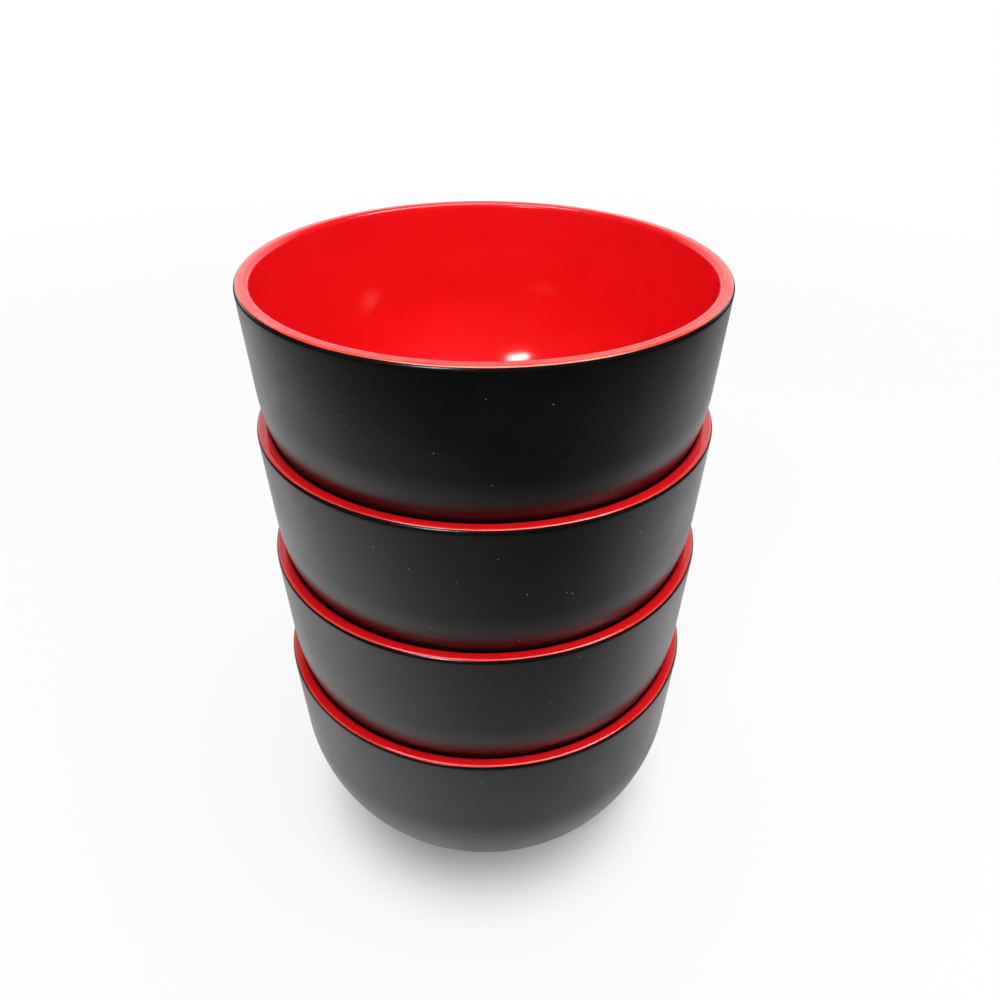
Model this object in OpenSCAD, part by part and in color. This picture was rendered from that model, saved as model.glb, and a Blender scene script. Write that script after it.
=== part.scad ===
// Nested set of stoneware noodle bowls, red gloss glaze inside and black satin glaze outside.
// The lowest bowl stands on the XY plane with its axis on Z, and the others nest in it.
// A bowl is a revolved section: a clay wall on a turned foot, between two coats of glaze.

/* [Bowl] */
// Outer diameter at the lip
rim_d = 152; // [140:1:180]
// Height from the underside of the foot to the lip
bowl_h = 91; // [84:0.5:105]
// Thickness of the lip, both glazes included
lip_t = 4.7; // [3.6:0.1:6]
// Lean of the straight upper wall out of upright, in degrees
wall_lean = 3.3; // [1:0.1:6]
// Radius of the belly's rounding outside, from the upper wall down to the foot
belly_r = 61; // [52:0.5:66]
// Radius of the hollow's rounding inside, from the upper wall down to the floor
hollow_r = 54; // [46:0.5:58]
// Thickness of the base, from the hollow under the foot to the floor inside
base_t = 5; // [4:0.1:8]

/* [Lip] */
// Rounding of the lip's outer edge
lip_outer_r = 1.1; // [0.8:0.1:1.8]
// Rounding of the lip's inner edge
lip_inner_r = 1.3; // [0.6:0.1:1.8]

/* [Foot] */
// Outer diameter of the foot ring
foot_d = 66; // [56:1:76]
// Height of the foot ring outside, up to the belly
foot_h = 4.4; // [3:0.1:7]
// Width of the foot ring
foot_w = 5; // [3:0.1:8]
// Depth of the hollow under the base, inside the foot ring
foot_hollow = 3; // [1.5:0.1:4]
// Rounding of the foot ring's two lower edges
foot_edge_r = 0.8; // [0.3:0.1:1.2]

/* [Glaze] */
// Thickness of each coat of glaze
glaze_t = 0.4; // [0.2:0.05:0.5]
// Where the two glazes meet on the lip's rounded outer edge, in degrees above level
seam_angle = 40; // [5:1:75]
// Width of the bare clay that the black glaze leaves round the foot
bare_band = 1.5; // [0.5:0.1:4]

/* [Stack] */
// Number of bowls in the stack
bowl_count = 4; // [1:1:6]
// Gap left where the belly of a bowl sits in the lip of the bowl below
seat_gap = 0.3; // [0.2:0.05:0.5]

/* [Hidden] */
$fn = 180;
long_arc_steps = 36;
edge_arc_steps = 8;

rim_r = rim_d / 2;
foot_r = foot_d / 2;
foot_inner_r = foot_r - foot_w;
floor_z = foot_hollow + base_t;

// Slope of the upper wall
lean_t = tan(wall_lean);

// The edges of the lip are rounded about these centres
lip_outer_c = [rim_r - lip_outer_r * (lean_t + 1 / cos(wall_lean)), bowl_h - lip_outer_r];
lip_inner_c = [rim_r - lip_t - lip_inner_r * (lean_t - 1 / cos(wall_lean)), bowl_h - lip_inner_r];

// The belly's arc runs on from the upper wall and ends at the top corner of the foot
belly_dx = rim_r - belly_r / cos(wall_lean) - (bowl_h - foot_h) * lean_t - foot_r;
belly_dz = (sqrt(pow(belly_r / cos(wall_lean), 2) - pow(belly_dx, 2)) - belly_dx * lean_t)
    * pow(cos(wall_lean), 2);
belly_c = [foot_r + belly_dx + belly_dz * lean_t, foot_h + belly_dz];

// The bare clay under the glaze meets the foot at this corner, and the black glaze stops short of it
foot_angle = -acos((foot_r - belly_c.x) / (belly_r - glaze_t));
foot_corner = belly_c + (belly_r - glaze_t) * [cos(foot_angle), sin(foot_angle)];
stop_angle = -acos((foot_r + bare_band - belly_c.x) / (belly_r - glaze_t));

// The hollow's arc runs on from the inside of the upper wall and ends level at the floor
hollow_z = floor_z + hollow_r;
hollow_c = [rim_r - lip_t - (bowl_h - hollow_z) * lean_t - hollow_r / cos(wall_lean), hollow_z];

// A bowl sinks into the one below until its belly is seat_gap away from the rounded inner lip
seat_reach = belly_r + seat_gap + lip_inner_r;
seat_drop = sqrt(pow(seat_reach, 2) - pow(lip_inner_c.x - belly_c.x, 2));
stack_pitch = lip_inner_c.y + seat_drop - belly_c.y;

function node_name(level, layer) = str("bowl_", level, "_", layer);

function arc(center, r, from, to, steps) = [
    for (k = [0 : steps])
        let (a = from + (to - from) * k / steps) center + r * [cos(a), sin(a)]
];

function backwards(path) = [for (k = [len(path) - 1 : -1 : 0]) path[k]];

// A path without its first point, to set it after one that ends there
function tail(path) = [for (k = [1 : len(path) - 1]) path[k]];

// Section lines at a depth below the glazed surface: depth 0 is the glaze, glaze_t is the clay

// Up the outside, from the end of the black glaze to where it meets the red on the lip's edge
function outer_line(depth) = concat(
    arc(belly_c, belly_r - depth, stop_angle, -wall_lean, long_arc_steps),
    arc(lip_outer_c, lip_outer_r - depth, -wall_lean, seam_angle, edge_arc_steps)
);

// From there over the lip and down the inside to the middle of the floor
function inner_line(depth) = concat(
    arc(lip_outer_c, lip_outer_r - depth, seam_angle, 90, edge_arc_steps),
    arc(lip_inner_c, lip_inner_r - depth, 90, 180 - wall_lean, edge_arc_steps),
    arc(hollow_c, hollow_r + depth, -wall_lean, -90, long_arc_steps),
    [[0, floor_z - depth]]
);

// Under the base and round the foot ring, up to the end of the black glaze
function foot_line() = concat(
    [[0, foot_hollow], [foot_inner_r, foot_hollow]],
    arc([foot_inner_r + foot_edge_r, foot_edge_r], foot_edge_r, 180, 270, edge_arc_steps),
    arc([foot_r - foot_edge_r, foot_edge_r], foot_edge_r, 270, 360, edge_arc_steps),
    [foot_corner]
);

module bowl_clay()
    color("tan")
        rotate_extrude()
            polygon(concat(foot_line(), outer_line(glaze_t), tail(inner_line(glaze_t))));

module bowl_red_glaze()
    color("crimson")
        rotate_extrude()
            polygon(concat(inner_line(0), backwards(inner_line(glaze_t))));

module bowl_black_glaze()
    color("#1c1c1e")
        rotate_extrude()
            polygon(concat(outer_line(0), backwards(outer_line(glaze_t))));

module at_level(level)
    translate([0, 0, (level - 1) * stack_pitch]) children();

for (level = [1 : bowl_count]) {
    at_level(level) bowl_clay();
    at_level(level) bowl_red_glaze();
    at_level(level) bowl_black_glaze();
}
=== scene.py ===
import math

import bpy
import numpy as np
from mathutils import Matrix, Vector


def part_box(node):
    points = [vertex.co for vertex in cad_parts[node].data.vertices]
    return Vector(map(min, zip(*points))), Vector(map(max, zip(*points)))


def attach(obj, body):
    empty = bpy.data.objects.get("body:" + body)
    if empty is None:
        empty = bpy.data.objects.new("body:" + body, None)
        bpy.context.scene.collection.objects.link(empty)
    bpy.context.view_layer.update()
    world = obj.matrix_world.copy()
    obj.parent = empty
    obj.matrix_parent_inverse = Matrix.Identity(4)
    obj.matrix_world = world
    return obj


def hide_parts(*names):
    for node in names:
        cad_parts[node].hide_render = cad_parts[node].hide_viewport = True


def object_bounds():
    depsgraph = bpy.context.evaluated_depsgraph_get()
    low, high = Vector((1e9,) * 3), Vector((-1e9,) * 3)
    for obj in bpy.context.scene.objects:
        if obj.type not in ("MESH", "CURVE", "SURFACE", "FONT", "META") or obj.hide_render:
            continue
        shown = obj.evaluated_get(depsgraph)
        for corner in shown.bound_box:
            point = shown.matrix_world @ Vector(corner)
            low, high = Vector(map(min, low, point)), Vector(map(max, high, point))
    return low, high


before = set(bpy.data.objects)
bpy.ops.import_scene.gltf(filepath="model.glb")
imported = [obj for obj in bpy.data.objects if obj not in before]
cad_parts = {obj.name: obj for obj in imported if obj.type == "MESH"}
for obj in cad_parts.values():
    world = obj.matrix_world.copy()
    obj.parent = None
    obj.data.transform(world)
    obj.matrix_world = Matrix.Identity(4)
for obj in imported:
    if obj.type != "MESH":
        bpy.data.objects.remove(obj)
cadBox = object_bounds()

# One bowl's section in metres and degrees, as in the solids but with the lip's edges a little rounder
bowl = {
    "rimRadius": 0.076,
    "height": 0.091,
    "lipThickness": 0.0047,
    "wallLean": 3.3,          # of the straight upper wall, out of upright
    "bellyRadius": 0.061,
    "hollowRadius": 0.054,
    "baseThickness": 0.005,
    "lipOuterRadius": 0.0015,
    "lipInnerRadius": 0.0018,
    "footRadius": 0.033,
    "footHeight": 0.0044,
    "footWidth": 0.005,
    "footHollow": 0.003,
    "footEdge": 0.0008,       # rounding of the foot ring's lower edges
    "glaze": 0.0004,          # thickness of each coat
    "seamAngle": 50,          # where the coats meet on the lip's outer edge, above level
    "bareBand": 0.0015,       # clay left bare above the foot
}

# How fine the meshes are: steps along each stretch of the section, and round the axis
steps = {
    "belly": 40,
    "outerWall": 12,
    "lipOuterEdge": 5,        # on each side of the seam
    "lipFlat": 4,
    "lipInnerEdge": 6,
    "innerWall": 10,
    "hollow": 36,
    "floor": 8,
    "base": 24,
    "footInside": 3,
    "footEdge": 6,
    "footOutside": 6,
    "finer": 2,               # times as many on the faces of the coats
    "turn": 256,
}
samePlace = 1e-7              # points of a section that are closer than this are one
sharpAngle = 50               # edges sharper than this, in degrees, aren't smoothed

lean = math.radians(bowl["wallLean"])
slope = math.tan(lean)
floorHeight = bowl["footHollow"] + bowl["baseThickness"]
turnAngles = np.linspace(0, 2 * math.pi, steps["turn"], endpoint=False)

# Centres of the lip's two rounded edges
lipOuterCentre = np.array((
    bowl["rimRadius"] - bowl["lipOuterRadius"] * (slope + 1 / math.cos(lean)),
    bowl["height"] - bowl["lipOuterRadius"],
))
lipInnerCentre = np.array((
    bowl["rimRadius"] - bowl["lipThickness"] - bowl["lipInnerRadius"] * (slope - 1 / math.cos(lean)),
    bowl["height"] - bowl["lipInnerRadius"],
))

# The belly's arc is tangent to the wall and ends at the top of the foot ring
bellySide = (
    bowl["rimRadius"] - bowl["bellyRadius"] / math.cos(lean)
    - (bowl["height"] - bowl["footHeight"]) * slope - bowl["footRadius"]
)
bellyRise = math.cos(lean) ** 2 * (
    math.sqrt((bowl["bellyRadius"] / math.cos(lean)) ** 2 - bellySide ** 2) - bellySide * slope
)
bellyCentre = np.array((
    bowl["footRadius"] + bellySide + bellyRise * slope,
    bowl["footHeight"] + bellyRise,
))

# The hollow's arc is tangent to the inside of the wall and level at the floor
hollowHeight = floorHeight + bowl["hollowRadius"]
hollowCentre = np.array((
    bowl["rimRadius"] - bowl["lipThickness"] - (bowl["height"] - hollowHeight) * slope
    - bowl["hollowRadius"] / math.cos(lean),
    hollowHeight,
))


# Points on a circle from one angle to another, in the section's plane
def arcPoints(centre, radius, fromDegrees, toDegrees, count):
    angles = np.radians(np.linspace(fromDegrees, toDegrees, count + 1))
    return centre + radius * np.column_stack((np.cos(angles), np.sin(angles)))


# Points on a straight line from one place to another
def linePoints(start, end, count):
    return np.linspace(start, end, count + 1)


# Lines set one after the other, with one point where two of them meet
def joinLines(*lines):
    points = np.vstack(lines)
    keep = np.append(True, np.hypot(*np.diff(points, axis=0).T) > samePlace)
    return points[keep]


# Angle on the belly's arc at a distance from the axis
def bellyAngle(radius, depth):
    return -math.degrees(math.acos((radius - bellyCentre[0]) / (bowl["bellyRadius"] - depth)))


# Outside, from the black coat's end near the foot up to the seam on the lip's rounded edge
def outerLine(depth, finer=1):
    lowest = bellyAngle(bowl["footRadius"] + bowl["bareBand"], bowl["glaze"])
    atWall = -bowl["wallLean"]
    belly = arcPoints(bellyCentre, bowl["bellyRadius"] - depth, lowest, atWall, steps["belly"] * finer)
    edgeRadius = bowl["lipOuterRadius"] - depth
    edge = arcPoints(lipOuterCentre, edgeRadius, atWall, bowl["seamAngle"], steps["lipOuterEdge"] * finer)
    return joinLines(belly, linePoints(belly[-1], edge[0], steps["outerWall"] * finer), edge)


# From the seam over the lip and down the inside to the middle of the floor
def innerLine(depth, finer=1):
    outerRadius = bowl["lipOuterRadius"] - depth
    innerRadius = bowl["lipInnerRadius"] - depth
    hollowRadius = bowl["hollowRadius"] + depth
    outer = arcPoints(lipOuterCentre, outerRadius, bowl["seamAngle"], 90, steps["lipOuterEdge"] * finer)
    inner = arcPoints(lipInnerCentre, innerRadius, 90, 180 - bowl["wallLean"], steps["lipInnerEdge"] * finer)
    hollow = arcPoints(hollowCentre, hollowRadius, -bowl["wallLean"], -90, steps["hollow"] * finer)
    return joinLines(
        outer, linePoints(outer[-1], inner[0], steps["lipFlat"] * finer), inner,
        linePoints(inner[-1], hollow[0], steps["innerWall"] * finer), hollow,
        linePoints(hollow[-1], (0, floorHeight - depth), steps["floor"] * finer),
    )


# Under the base and round the foot ring, from the axis to the corner between the foot and the belly
def footLine():
    edge = bowl["footEdge"]
    hollow = bowl["footHollow"]
    outside = bowl["footRadius"]
    inside = outside - bowl["footWidth"]
    angle = math.radians(bellyAngle(outside, bowl["glaze"]))
    clayRadius = bowl["bellyRadius"] - bowl["glaze"]
    corner = bellyCentre + clayRadius * np.array((math.cos(angle), math.sin(angle)))
    return joinLines(
        linePoints((0, hollow), (inside, hollow), steps["base"]),
        linePoints((inside, hollow), (inside, edge), steps["footInside"]),
        arcPoints((inside + edge, edge), edge, 180, 270, steps["footEdge"]),
        arcPoints((outside - edge, edge), edge, 270, 360, steps["footEdge"]),
        linePoints((outside, edge), corner, steps["footOutside"]),
    )


# Distance run along a line up to each of its points
def runLength(points):
    return np.append(0, np.cumsum(np.hypot(*np.diff(points, axis=0).T)))


# Direction of a line at each of its points, of length one
def wayAlong(points):
    step = np.gradient(points, axis=0)
    return step / np.hypot(*step.T)[:, None]


# A section turned about Z: each point (r, z) goes to (r cos a, r sin a, z) at every angle a,
# and the points near a coat's edge are first moved along the section by a wave in a
def turnSection(section, level, pulls):
    places = np.repeat(section[:, None, :], len(turnAngles), axis=1)
    for weights, ways, wave in pulls:
        places = places + (weights[:, None] * ways)[:, None, :] * wave[None, :, None]
    radius, height = places[:, :, 0], places[:, :, 1]
    return np.stack((radius * np.cos(turnAngles), radius * np.sin(turnAngles), height + level), axis=-1)


# Rings joined to one closed mesh: quads between rings, and fans to the two poles or, in a loop,
# quads from the last ring back to the first
def meshFromRings(name, rings, poles, values):
    count, segments = rings.shape[:2]
    index = np.arange(count * segments).reshape(count, segments)
    beside = np.roll(index, -1, axis=1)
    below, above = slice(0, count - 1), slice(1, count)
    faces = np.stack((index[below], beside[below], beside[above], index[above]), axis=-1).reshape(-1, 4)
    if poles is None:
        closing = np.stack((index[-1], beside[-1], beside[0], index[0]), axis=-1)
        points = rings.reshape(-1, 3)
    else:
        first, last = count * segments, count * segments + 1
        closing = np.vstack((
            np.column_stack((np.full(segments, first), beside[0], index[0])),
            np.column_stack((index[-1], beside[-1], np.full(segments, last))),
        ))
        points = np.vstack((rings.reshape(-1, 3), poles))
    mesh = bpy.data.meshes.new(name)
    mesh.from_pydata(points.tolist(), [], faces.tolist() + closing.tolist())
    mesh.polygons.foreach_set("use_smooth", np.ones(len(mesh.polygons), bool))
    mesh.set_sharp_from_angle(angle=math.radians(sharpAngle))
    for label, perRing in values.items():
        spread = np.repeat(perRing, segments)
        spread = np.append(spread, perRing[[0, -1]]) if poles is not None else spread
        mesh.attributes.new(label, "FLOAT", "POINT").data.foreach_set("value", spread.astype(np.float32))
    return mesh


# A section from the axis back to the axis, turned: its two ends are the poles, and the rest are rings
def turnToPoles(name, section, level, pulls, values):
    pulls = [(weights[1:-1], ways[1:-1], wave) for weights, ways, wave in pulls]
    rings = turnSection(section[1:-1], level, pulls)
    poles = np.array([(0, 0, end[1] + level) for end in section[[0, -1]]])
    return meshFromRings(name, rings, poles, {label: value[1:-1] for label, value in values.items()})


# A section that runs round on itself, turned to a loop of rings
def turnToLoop(name, section, level, pulls, values):
    return meshFromRings(name, turnSection(section, level, pulls), None, values)


def placePiece(name, mesh, material, body):
    piece = bpy.data.objects.new(name + "_fired", mesh)
    bpy.context.scene.collection.objects.link(piece)
    mesh.materials.append(material)
    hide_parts(name)
    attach(piece, body)


# Materials

# A node with its settings, and values for its sockets by name, with _ for a space
def addNode(tree, kind, settings=None, **values):
    node = tree.nodes.new(kind)
    for label, value in (settings or {}).items():
        setattr(node, label, value)
    for label, value in values.items():
        node.inputs[label.replace("_", " ")].default_value = value
    return node


def addMath(tree, operation, first, second=None, clamp=False):
    node = tree.nodes.new("ShaderNodeMath")
    node.operation = operation
    node.use_clamp = clamp
    for place, source in enumerate((first, second)):
        if isinstance(source, (int, float)):
            node.inputs[place].default_value = source
        elif source is not None:
            tree.links.new(source, node.inputs[place])
    return node.outputs[0]


# From low to high in the source, smoothly from toLow to toHigh
def addRange(tree, source, low, high, toLow=0.0, toHigh=1.0):
    node = tree.nodes.new("ShaderNodeMapRange")
    node.interpolation_type = "SMOOTHSTEP"
    for label, value in (("From Min", low), ("From Max", high), ("To Min", toLow), ("To Max", toHigh)):
        if isinstance(value, (int, float)):
            node.inputs[label].default_value = value
        else:
            tree.links.new(value, node.inputs[label])
    tree.links.new(source, node.inputs["Value"])
    return node.outputs["Result"]


def addLength(tree, source):
    node = addNode(tree, "ShaderNodeVectorMath", {"operation": "LENGTH"})
    tree.links.new(source, node.inputs[0])
    return node.outputs["Value"]


def addAttribute(tree, label):
    return addNode(tree, "ShaderNodeAttribute", {"attribute_name": label}).outputs["Fac"]


def mixColours(tree, mask, first, second):
    node = tree.nodes.new("ShaderNodeMix")
    node.data_type = "RGBA"
    tree.links.new(mask, node.inputs["Factor"])
    for label, source in (("A", first), ("B", second)):
        socket = [s for s in node.inputs if s.name == label and s.type == "RGBA"][0]
        if isinstance(source, tuple):
            socket.default_value = (*source, 1)
        else:
            tree.links.new(source, socket)
    return [s for s in node.outputs if s.type == "RGBA"][0]


# A node group of numbers and the Vector that it is placed on
def newGroup(name, inputs, outputs):
    group = bpy.data.node_groups.new(name, "ShaderNodeTree")
    for side, labels in (("INPUT", inputs), ("OUTPUT", outputs)):
        for label in labels:
            kind = "NodeSocketVector" if label == "Vector" else "NodeSocketFloat"
            group.interface.new_socket(label, in_out=side, socket_type=kind)
    return group, group.nodes.new("NodeGroupInput").outputs, group.nodes.new("NodeGroupOutput").inputs


def placeGroup(tree, group, coordinates, **values):
    node = addNode(tree, "ShaderNodeGroup", {"node_tree": group}, **values)
    tree.links.new(coordinates, node.inputs["Vector"])
    return node.outputs


cloudNoise = {
    "cloud": {"Detail": 4.0, "Roughness": 0.55},
    "cloudSpan": (0.3, 0.7),  # part of the noise that is spread from 0 to 1
    "ripple": {"Detail": 1.0, "Roughness": 0.4},
}


# Cloudy shade of a fired coat, from 0 to 1, and the height of its fine ripple
def makeCloudGroup():
    inputs = ("Vector", "Cloud Scale", "Ripple Scale")
    group, start, end = newGroup("coatClouds", inputs, ("Cloud", "Ripple"))
    cloud = addNode(group, "ShaderNodeTexNoise", **cloudNoise["cloud"])
    ripple = addNode(group, "ShaderNodeTexNoise", **cloudNoise["ripple"])
    for noise, scale in ((cloud, "Cloud Scale"), (ripple, "Ripple Scale")):
        group.links.new(start["Vector"], noise.inputs["Vector"])
        group.links.new(start[scale], noise.inputs["Scale"])
    group.links.new(addRange(group, cloud.outputs[0], *cloudNoise["cloudSpan"]), end["Cloud"])
    group.links.new(ripple.outputs[0], end["Ripple"])
    return group


speckShape = {
    "smallest": 0.35,         # spots are from this part of the full size up to all of it
    "core": 0.6,              # part of a spot inside its soft rim
}


# Small round spots strewn at random: one cell in so many holds a spot of its own size
def makeSpeckGroup():
    group, start, end = newGroup("strewnSpecks", ("Vector", "Scale", "Share", "Size"), ("Mask",))
    cells = addNode(group, "ShaderNodeTexVoronoi", Randomness=1.0)
    group.links.new(start["Vector"], cells.inputs["Vector"])
    group.links.new(start["Scale"], cells.inputs["Scale"])
    split = addNode(group, "ShaderNodeSeparateColor")
    group.links.new(cells.outputs["Color"], split.inputs[0])
    chosen = addMath(group, "LESS_THAN", split.outputs[0], start["Share"])
    share = addRange(group, split.outputs[1], 0, 1, speckShape["smallest"], 1.0)
    reach = addMath(group, "MULTIPLY", start["Size"], share)
    core = addMath(group, "MULTIPLY", reach, speckShape["core"])
    inside = addRange(group, cells.outputs["Distance"], core, reach, 1.0, 0.0)
    group.links.new(addMath(group, "MULTIPLY", chosen, inside), end["Mask"])
    return group


cloudGroup = makeCloudGroup()
speckGroup = makeSpeckGroup()


# The clouds and ripple of one look, at its own scales
def placeClouds(tree, coordinates, look):
    scales = {"Cloud_Scale": look["clouds"], "Ripple_Scale": look["ripples"]}
    return placeGroup(tree, cloudGroup, coordinates, **scales)


def newMaterial(name):
    material = bpy.data.materials.new(name)
    material.use_nodes = True
    tree = material.node_tree
    tree.nodes.clear()
    shader = tree.nodes.new("ShaderNodeBsdfPrincipled")
    output = tree.nodes.new("ShaderNodeOutputMaterial")
    tree.links.new(shader.outputs[0], output.inputs["Surface"])
    coordinates = tree.nodes.new("ShaderNodeTexCoord").outputs["Object"]
    return material, tree, shader, coordinates


def addBump(tree, shader, height, strength, distance):
    bump = addNode(tree, "ShaderNodeBump", Strength=strength, Distance=distance)
    tree.links.new(height, bump.inputs["Height"])
    tree.links.new(bump.outputs[0], shader.inputs["Normal"])


redLook = {
    "bright": (0.84, 0.0095, 0.0125),
    "deep": (0.80, 0.0080, 0.0105),
    "edge": (0.80, 0.12, 0.07),        # where the coat thins over the lip's outer edge,
    "edgeShare": (0.25, 1.0),          # patchy: from this share to that
    "edgeSpan": (0.1, 0.9),            # over this part of the clouds
    "pinhole": (0.30, 0.004, 0.003),
    "pinholes": {"Scale": 260.0, "Share": 0.035, "Size": 0.09},
    "roughness": (0.11, 0.14),
    "clouds": 38.0,
    "ripples": 260.0,
    "bump": (0.05, 0.0004),
}


def makeRedGloss():
    material, tree, shader, coordinates = newMaterial("redGloss")
    coat = placeClouds(tree, coordinates, redLook)
    colour = mixColours(tree, coat["Cloud"], redLook["deep"], redLook["bright"])
    patches = addRange(tree, coat["Cloud"], *redLook["edgeSpan"], *redLook["edgeShare"])
    thin = addMath(tree, "MULTIPLY", addAttribute(tree, "thinCoat"), patches)
    colour = mixColours(tree, thin, colour, redLook["edge"])
    holes = placeGroup(tree, speckGroup, coordinates, **redLook["pinholes"])
    colour = mixColours(tree, holes["Mask"], colour, redLook["pinhole"])
    tree.links.new(colour, shader.inputs["Base Color"])
    rough = addRange(tree, coat["Cloud"], 0, 1, *redLook["roughness"])
    tree.links.new(rough, shader.inputs["Roughness"])
    addBump(tree, shader, coat["Ripple"], *redLook["bump"])
    return material


blackLook = {
    "deep": (0.0014, 0.0014, 0.0014),
    "pale": (0.0026, 0.0027, 0.0026),
    "seam": (0.016, 0.0007, 0.0006),   # red showing through next to the lip
    "seamRoughness": 0.18,
    "dust": (0.32, 0.32, 0.31),
    "dustGrains": {"Scale": 600.0, "Share": 0.05, "Size": 0.15},
    "roughness": (0.31, 0.37),
    "ior": 1.66,
    "clouds": 30.0,
    "ripples": 900.0,
    "bump": (0.12, 0.0003),
}


def makeBlackSatin():
    material, tree, shader, coordinates = newMaterial("blackSatin")
    coat = placeClouds(tree, coordinates, blackLook)
    colour = mixColours(tree, coat["Cloud"], blackLook["deep"], blackLook["pale"])
    seam = addAttribute(tree, "seamGlow")
    colour = mixColours(tree, seam, colour, blackLook["seam"])
    dust = placeGroup(tree, speckGroup, coordinates, **blackLook["dustGrains"])
    colour = mixColours(tree, dust["Mask"], colour, blackLook["dust"])
    tree.links.new(colour, shader.inputs["Base Color"])
    rough = addRange(tree, coat["Cloud"], 0, 1, *blackLook["roughness"])
    rough = addRange(tree, seam, 0, 1, rough, blackLook["seamRoughness"])
    tree.links.new(rough, shader.inputs["Roughness"])
    shader.inputs["IOR"].default_value = blackLook["ior"]
    addBump(tree, shader, coat["Ripple"], *blackLook["bump"])
    return material


clayLook = {
    "pale": (0.60, 0.47, 0.36),
    "dark": (0.46, 0.34, 0.25),
    "iron": (0.09, 0.055, 0.035),
    "ironSpecks": {"Scale": 420.0, "Share": 0.16, "Size": 0.28},
    "roughness": 0.88,
    "clouds": 90.0,
    "ripples": 1800.0,
    # Fine rings left by the turning tool, about 1.2 mm apart, and their height beside the ripple's
    "grooves": {"Scale": 260.0, "Distortion": 0.6, "Detail": 2.0},
    "grooveHeight": 0.5,
    "bump": (0.5, 0.0003),
}


def makeBareClay():
    material, tree, shader, coordinates = newMaterial("bareClay")
    body = placeClouds(tree, coordinates, clayLook)
    colour = mixColours(tree, body["Cloud"], clayLook["dark"], clayLook["pale"])
    iron = placeGroup(tree, speckGroup, coordinates, **clayLook["ironSpecks"])
    colour = mixColours(tree, iron["Mask"], colour, clayLook["iron"])
    tree.links.new(colour, shader.inputs["Base Color"])
    shader.inputs["Roughness"].default_value = clayLook["roughness"]
    rings = {"wave_type": "RINGS", "rings_direction": "Z"}
    turned = addNode(tree, "ShaderNodeTexWave", rings, **clayLook["grooves"])
    tree.links.new(coordinates, turned.inputs["Vector"])
    height = addMath(tree, "MULTIPLY", turned.outputs["Fac"], clayLook["grooveHeight"])
    height = addMath(tree, "ADD", body["Ripple"], height)
    addBump(tree, shader, height, *clayLook["bump"])
    return material


redGloss = makeRedGloss()
blackSatin = makeBlackSatin()
bareClay = makeBareClay()
print("materials made")

# Pieces of each bowl

coatEdges = {
    "seamWave": 0.00014,      # how far the line between the coats wanders on the lip's edge
    "seamFade": 0.0020,       # and how far from that line the wandering ends
    "seamSeed": 10,           # plus the bowl's number
    "footWave": 0.00045,      # the same at the black coat's lower edge
    "footFade": 0.0040,
    "footSeed": 20,
    "swings": range(2, 13),   # in one turn of such a wave
    "lowestSwing": 0.4,       # a swing's height is drawn from here to 1
    "calming": 0.7,           # and falls with the number of swings to this power
    "seamBand": 0.0013,       # width of the dark red line on the black
    # Width of the thin place in the red over each lip's outer edge, from the lowest bowl up
    "thinBands": (0.0007, 0.0008, 0.0007, 0.0026),
}


# A closed wave round the bowl: a sum of sines, h sin(n a + start) for each n of swings, at most size high
def wobble(size, seed):
    draw = np.random.default_rng(seed)
    swings = np.array(coatEdges["swings"])
    heights = draw.uniform(coatEdges["lowestSwing"], 1, len(swings)) / swings ** coatEdges["calming"]
    starts = draw.uniform(0, 2 * math.pi, len(swings))
    wave = (heights[:, None] * np.sin(swings[:, None] * turnAngles + starts[:, None])).sum(0)
    return size * wave / np.abs(wave).max()


# Weight 1 at a run of 0, falling to 0 at the fade by s s (3 - 2 s)
def fadeOut(run, fade):
    share = np.clip(1 - run / fade, 0, 1)
    return share * share * (3 - 2 * share)


def makeBowl(number, thinBand):
    body = "bowl_%d" % number
    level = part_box(body + "_clay")[0].z
    seamWave = wobble(coatEdges["seamWave"], coatEdges["seamSeed"] + number)
    footWave = wobble(coatEdges["footWave"], coatEdges["footSeed"] + number)

    # Clay: from the axis under the base round the foot, up the outside, over the lip, down the inside
    section = joinLines(footLine(), outerLine(bowl["glaze"]), innerLine(bowl["glaze"]))
    mesh = turnToPoles(body + "_clay", section, level, [], {})
    placePiece(body + "_clay", mesh, bareClay, body)

    # Red: along the clay from the floor to the seam, and back on the coat's face
    under = innerLine(bowl["glaze"])
    face = innerLine(0, steps["finer"])
    section = np.vstack((under[::-1], face))
    fromSeam = np.append(runLength(under)[::-1], runLength(face))
    ways = np.vstack((wayAlong(under)[::-1], wayAlong(face)))
    pulls = [(fadeOut(fromSeam, coatEdges["seamFade"]), ways, seamWave)]
    thin = np.append(np.zeros(len(under)), fadeOut(runLength(face), thinBand))
    mesh = turnToPoles(body + "_red_glaze", section, level, pulls, {"thinCoat": thin})
    placePiece(body + "_red_glaze", mesh, redGloss, body)

    # Black: up the coat's face from the foot to the seam, and down again along the clay
    under = outerLine(bowl["glaze"])
    face = outerLine(0, steps["finer"])
    section = np.vstack((face, under[::-1]))
    fromFoot = np.append(runLength(face), runLength(under)[::-1])
    fromSeam = np.append(runLength(face[::-1])[::-1], runLength(under[::-1]))
    ways = np.vstack((wayAlong(face), wayAlong(under)[::-1]))
    pulls = [
        (fadeOut(fromSeam, coatEdges["seamFade"]), ways, seamWave),
        (fadeOut(fromFoot, coatEdges["footFade"]), ways, footWave),
    ]
    glow = fadeOut(fromSeam, coatEdges["seamBand"])
    mesh = turnToLoop(body + "_black_glaze", section, level, pulls, {"seamGlow": glow})
    placePiece(body + "_black_glaze", mesh, blackSatin, body)


for number, thinBand in enumerate(coatEdges["thinBands"], 1):
    makeBowl(number, thinBand)
print("bowls made")

# Stage

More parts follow.
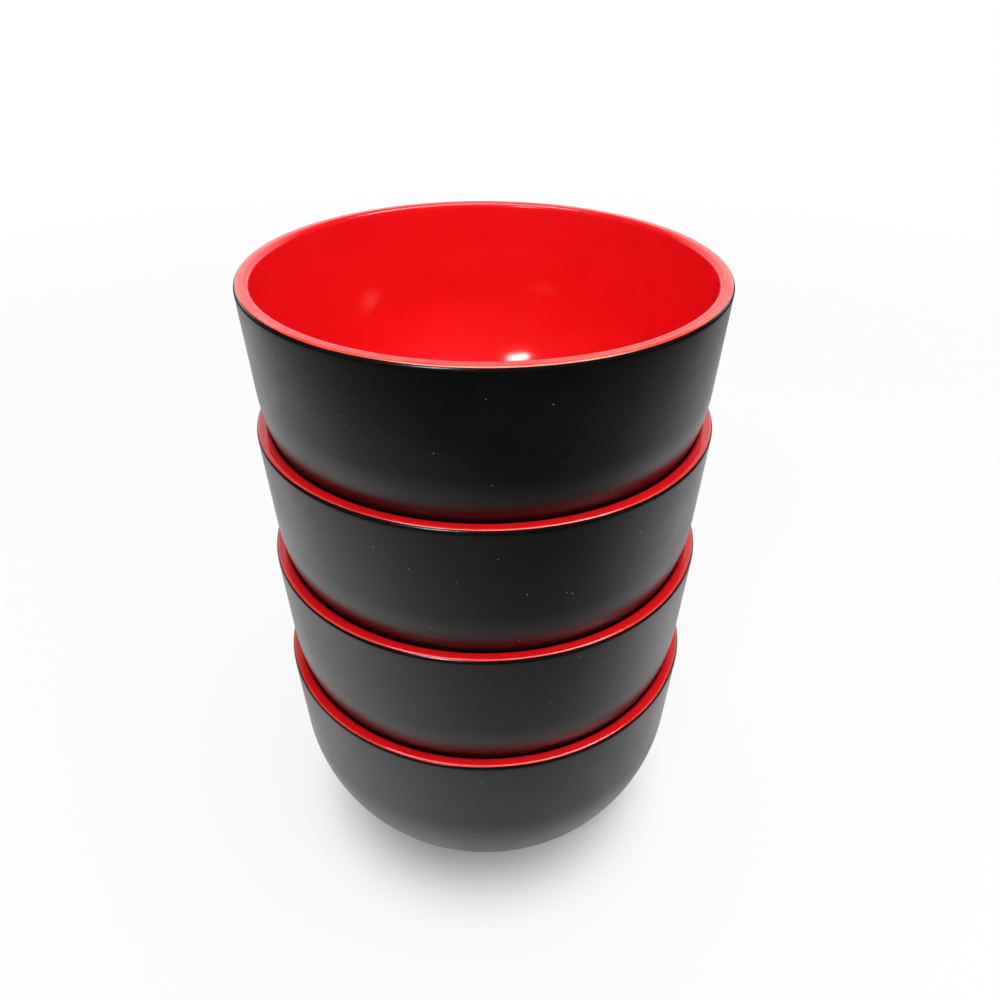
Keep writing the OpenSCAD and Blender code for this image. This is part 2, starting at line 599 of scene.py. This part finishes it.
def flatSheet(name, reach, height, material):
    mesh = bpy.data.meshes.new(name)
    corners = ((-reach, -reach), (reach, -reach), (reach, reach), (-reach, reach))
    mesh.from_pydata([(*corner, height) for corner in corners], [], [(0, 1, 2, 3)])
    mesh.materials.append(material)
    sheet = bpy.data.objects.new(name, mesh)
    bpy.context.scene.collection.objects.link(sheet)
    return sheet


def newMatte(name, colour):
    material, tree, shader, coordinates = newMaterial(name)
    shader.inputs["Base Color"].default_value = (*colour, 1)
    shader.inputs["Roughness"].default_value = 1.0
    shader.inputs["Specular IOR Level"].default_value = 0.0
    return material, tree, shader, coordinates


# A share of the second shader over the first, as the material's surface
def mixShaders(tree, share, first, second):
    both = tree.nodes.new("ShaderNodeMixShader")
    for place, source in enumerate((share, first.outputs[0], second.outputs[0])):
        tree.links.new(source, both.inputs[place])
    tree.links.new(both.outputs[0], tree.nodes["Material Output"].inputs["Surface"])


floor = {
    "reach": 8.0,
    "colour": (0.86, 0.858, 0.853),
    "litShare": 0.2,            # of the lit floor in what the camera and the gloss see, the rest plain white
    "litFade": (0.045, 0.083),  # from all of it to that share, so that the shadow at the foot stays
    "whiteOut": (0.25, 1.2),    # and from that share to none
}


def makeFloor():
    material, tree, shader, coordinates = newMatte("paleFloor", floor["colour"])
    distance = addLength(tree, coordinates)
    shadow = addRange(tree, distance, *floor["litFade"], 1.0, floor["litShare"])
    nearby = addRange(tree, distance, *floor["whiteOut"], 1.0, 0.0)
    glow = addMath(tree, "SUBTRACT", 1.0, addMath(tree, "MULTIPLY", shadow, nearby))
    light = tree.nodes.new("ShaderNodeLightPath").outputs
    seen = addMath(tree, "ADD", light["Is Camera Ray"], light["Is Glossy Ray"])
    seen = addMath(tree, "ADD", seen, light["Is Transmission Ray"], clamp=True)
    white = tree.nodes.new("ShaderNodeEmission")
    mixShaders(tree, addMath(tree, "MULTIPLY", seen, glow), shader, white)
    flatSheet("floor", floor["reach"], 0, material)


# A dark sheet over the floor, seen only in the gloss, that paints shade into the reflections: a darker floor
# and room in front of the stack, which the scene's floor and lamps don't give. The share of light it lets
# through changes from one distance to another round each middle, and the shares are multiplied
glossShade = {
    "reach": 8.0,
    "height": 0.002,
    "colour": (0.01, 0.01, 0.01),
    "back": {"middle": (-0.041, 0.374), "stretch": 0.947, "distance": (0.42, 0.736), "open": (1.0, 0.0)},
    "front": {"middle": (0.115, -0.184), "stretch": 1.653, "distance": (0.0, 0.21), "open": (0.3, 1.0)},
}


# Light let through round a middle, stretched sideways
def openShare(tree, coordinates, place):
    moved = addNode(
        tree, "ShaderNodeMapping", {"vector_type": "TEXTURE"},
        Location=(*place["middle"], 0), Scale=(place["stretch"], 1, 1),
    )
    tree.links.new(coordinates, moved.inputs["Vector"])
    return addRange(tree, addLength(tree, moved.outputs[0]), *place["distance"], *place["open"])


def makeGlossShadeSheet():
    # Near-black painted shade for the reflections, let through where the shares are open
    material, tree, shader, coordinates = newMatte("glossShadeSheet", glossShade["colour"])
    shares = [openShare(tree, coordinates, glossShade[place]) for place in ("back", "front")]
    clear = tree.nodes.new("ShaderNodeBsdfTransparent")
    mixShaders(tree, addMath(tree, "MULTIPLY", *shares), shader, clear)
    sheet = flatSheet("glossShadeSheet", glossShade["reach"], glossShade["height"], material)
    sheet.visible_camera = False
    sheet.visible_diffuse = False
    sheet.visible_shadow = False


# Light from all round, and what shows in the gloss, by parts of the direction's unit vector
sky = {
    "level": 0.60,
    "front": 0.024,              # how bright the room behind the camera shows in the gloss,
    "back": 0.86,                # and the white surround at the back,
    "backSpan": (0.35, 0.75),    # from one to the other by Y
    "side": 0.35,                # with this much more of it at the sides,
    "sideSpan": (0.0, 0.14),     # by X
    "upper": 0.05,               # and only this part of it high up,
    "upperSpan": (0.5, 0.85),    # by Z
    "panel": 13.0,               # a wide lit panel in the ceiling,
    "panelMiddle": 0.1,          # to the right of straight up,
    "panelWidth": (0.46, 0.54),  # this far to each side, with a soft edge,
    "panelDepth": (0.1, 0.2),    # and this far to the front and the back
}


def makeSky():
    world = bpy.data.worlds.new("studio")
    bpy.context.scene.world = world
    world.use_nodes = True
    tree = world.node_tree
    tree.nodes.clear()
    split = addNode(tree, "ShaderNodeSeparateXYZ")
    tree.links.new(tree.nodes.new("ShaderNodeTexCoord").outputs["Generated"], split.inputs[0])
    x, y, z = split.outputs

    surround = addRange(tree, y, *sky["backSpan"], sky["front"], sky["back"])
    sides = addRange(tree, addMath(tree, "ABSOLUTE", x), *sky["sideSpan"], 0.0, sky["side"])
    surround = addMath(tree, "ADD", surround, addMath(tree, "MULTIPLY", surround, sides))
    surround = addMath(tree, "MULTIPLY", addRange(tree, z, *sky["upperSpan"], 1.0, sky["upper"]), surround)

    across = addMath(tree, "ABSOLUTE", addMath(tree, "SUBTRACT", x, sky["panelMiddle"]))
    across = addRange(tree, across, *sky["panelWidth"], sky["panel"], 0.0)
    along = addRange(tree, addMath(tree, "ABSOLUTE", y), *sky["panelDepth"], 1.0, 0.0)
    gloss = addMath(tree, "ADD", surround, addMath(tree, "MULTIPLY", across, along))

    light = tree.nodes.new("ShaderNodeLightPath").outputs
    lit = addNode(tree, "ShaderNodeMix", {"data_type": "FLOAT"}, A=sky["level"])
    tree.links.new(light["Is Glossy Ray"], lit.inputs["Factor"])
    tree.links.new(gloss, lit.inputs["B"])
    seen = addNode(tree, "ShaderNodeMix", {"data_type": "FLOAT"}, B=1.0)
    direct = addMath(tree, "ADD", light["Is Camera Ray"], light["Is Transmission Ray"])
    tree.links.new(direct, seen.inputs["Factor"])
    tree.links.new(lit.outputs[0], seen.inputs["A"])
    background = addNode(tree, "ShaderNodeBackground", Color=(1, 1, 1, 1))
    tree.links.new(seen.outputs[0], background.inputs["Strength"])
    output = tree.nodes.new("ShaderNodeOutputWorld")
    tree.links.new(background.outputs[0], output.inputs["Surface"])


# Each lamp is turned to the top of the stack and rolled about its own beam
lamps = {
    "ceilingLamp": {
        "place": (0.1, 0.05, 1.25), "size": (0.7, 0.7), "roll": 0, "power": 4.0, "glossy": False,
    },
    "roomLamp": {
        "place": (0.35, -0.45, 1.2), "size": (0.9, 0.9), "roll": 0, "power": 5.0, "glossy": False,
    },
    "windowLamp": {
        "place": (-0.55, -1.15, 1.3), "size": (0.34, 0.12), "roll": 25, "power": 5.0, "glossy": True,
    },
}


def makeLamp(name, lamp):
    light = bpy.data.lights.new(name, "AREA")
    light.shape = "RECTANGLE"
    light.size, light.size_y = lamp["size"]
    light.energy = lamp["power"]
    holder = bpy.data.objects.new(name, light)
    bpy.context.scene.collection.objects.link(holder)
    way = Vector((0, 0, cadBox[1].z)) - Vector(lamp["place"])
    turn = way.to_track_quat("-Z", "Y").to_matrix().to_4x4()
    roll = Matrix.Rotation(math.radians(lamp["roll"]), 4, "Z")
    holder.matrix_world = Matrix.Translation(lamp["place"]) @ turn @ roll
    holder.visible_glossy = lamp["glossy"]


shot = {
    "focalPixels": 863.7,
    "framePixels": 1000,
    "sensor": 36,             # in millimetres
    "nearest": 0.01,
    "back": 0.26395,          # from the bowls' axis
    "above": 0.08656,         # over the top rim
    "pitch": 33.44,           # down from level
    "yaw": -1.13,
    "roll": 0.45,
}


def makeCamera():
    data = bpy.data.cameras.new("camera")
    data.sensor_width = shot["sensor"]
    data.lens = shot["focalPixels"] * shot["sensor"] / shot["framePixels"]
    data.clip_start = shot["nearest"]
    camera = bpy.data.objects.new("camera", data)
    bpy.context.scene.collection.objects.link(camera)
    turn = (
        Matrix.Rotation(math.radians(shot["yaw"]), 4, "Z")
        @ Matrix.Rotation(math.radians(90 - shot["pitch"]), 4, "X")
        @ Matrix.Rotation(math.radians(shot["roll"]), 4, "Z")
    )
    place = (0, -shot["back"], cadBox[1].z + shot["above"])
    camera.matrix_world = Matrix.Translation(place) @ turn
    bpy.context.scene.camera = camera


makeFloor()
makeGlossShadeSheet()
makeSky()
for name, lamp in lamps.items():
    makeLamp(name, lamp)
makeCamera()
bpy.context.scene.view_settings.view_transform = "Standard"
print("stage set")
